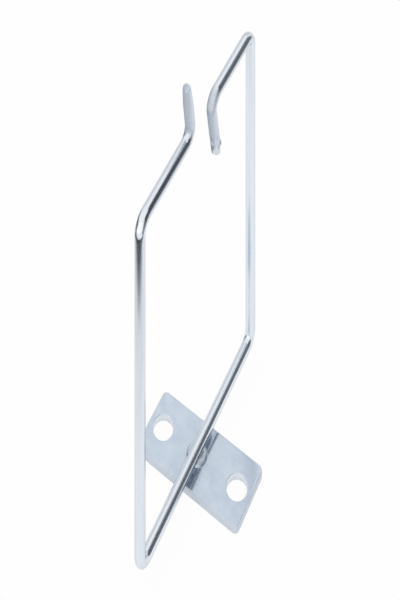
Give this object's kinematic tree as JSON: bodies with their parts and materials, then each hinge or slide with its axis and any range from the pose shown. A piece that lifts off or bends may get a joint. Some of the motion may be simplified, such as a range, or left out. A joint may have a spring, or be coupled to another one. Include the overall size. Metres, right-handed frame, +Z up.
{
  "type": "cable management ring",
  "caption": "Tall bent-wire cable ring with an S-shaped mouth in its top side, welded across a small flat screw-on plate; guides patch cables along a rack or wall.",
  "frame": {"origin": "middle of the plate's underside, on the mounting face between the two holes", "axes": "+Z up from the mounting face along the ring's uprights, +X along the ring's bottom side, +Y along the plate's long side"},
  "size_m": [0.0632, 0.034, 0.1143],
  "materials": {
    "plated_wire": "bright zinc plating with a faint blue passivation, fine drawing lines along the wire",
    "plated_plate": "satin zinc plating with a faint blue passivation",
    "plated_weld": "plated weld metal, slightly rough"
  },
  "bodies": {
    "root": {"wire_ring": "plated_wire", "mounting_plate": "plated_plate", "weld": "plated_weld"}
  },
  "joints": []
}
